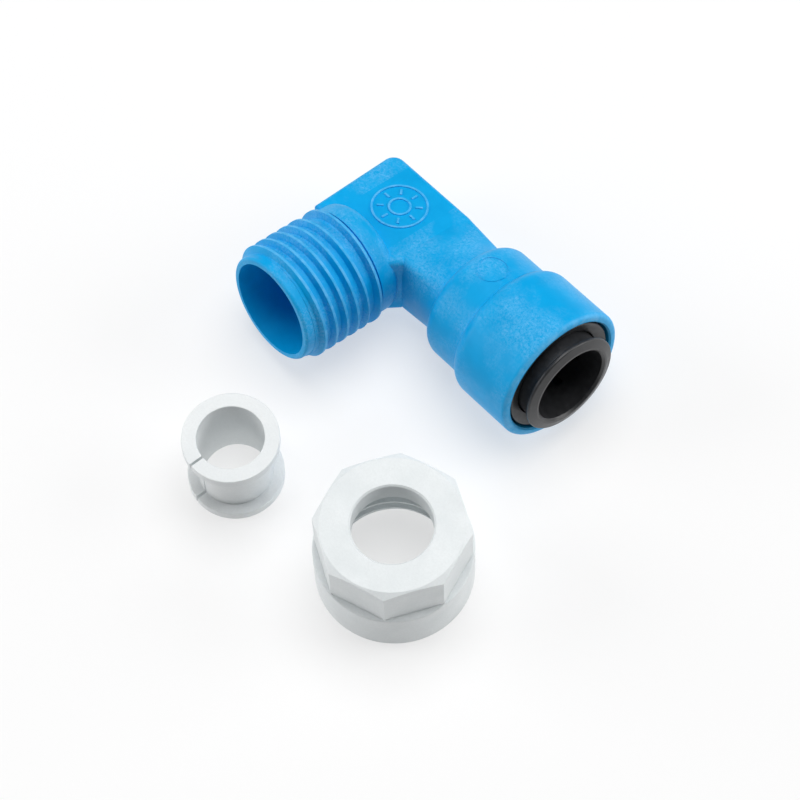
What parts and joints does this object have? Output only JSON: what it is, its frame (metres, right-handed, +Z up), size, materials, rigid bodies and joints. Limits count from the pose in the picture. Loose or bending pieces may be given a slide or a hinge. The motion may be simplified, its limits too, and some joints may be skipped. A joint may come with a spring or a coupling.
{
  "type": "push-in elbow connector",
  "caption": "Push-in pipe elbow: a grip socket with a release collet on one arm, a coarse male thread on the other, with its loose octagonal gland nut and split flanged bush.",
  "frame": {"origin": "middle of the whole set's footprint, on the table it lies on", "axes": "+Z up from the table; the socket arm heads along +X and the thread arm along -Y"},
  "size_m": [0.0748, 0.0744, 0.0285],
  "materials": {
    "elbow_plastic": "satin",
    "insert_plastic": "satin",
    "collet_plastic": "satin",
    "seal_rubber": "matte",
    "washer_plastic": "satin",
    "nut_plastic": "satin",
    "bush_plastic": "satin",
    "tooth_steel": "bright"
  },
  "bodies": {
    "elbow": {"elbow_body": "elbow_plastic", "retaining_ring": "insert_plastic", "o_ring": "seal_rubber", "spacer_washer": "washer_plastic"},
    "collet": {"collet": "collet_plastic", "grip_tooth_1": "tooth_steel", "grip_tooth_2": "tooth_steel", "grip_tooth_3": "tooth_steel", "grip_tooth_4": "tooth_steel", "grip_tooth_5": "tooth_steel", "grip_tooth_6": "tooth_steel", "grip_tooth_7": "tooth_steel", "grip_tooth_8": "tooth_steel"},
    "gland_nut": {"gland_nut": "nut_plastic"},
    "split_bush": {"split_bush": "bush_plastic"}
  },
  "joints": [
    {"name": "collet_push", "type": "slide", "parent": "elbow", "child": "collet", "axis": [-0.9909, 0, -0.1345], "range_m": [0, 0.0019]},
    {"name": "nut_lift", "type": "slide", "parent": "elbow", "child": "gland_nut", "axis": [0, 0, 1], "range_m": [0, 0.045]},
    {"name": "bush_lift", "type": "slide", "parent": "elbow", "child": "split_bush", "axis": [0, 0, 1], "range_m": [0, 0.045]}
  ]
}
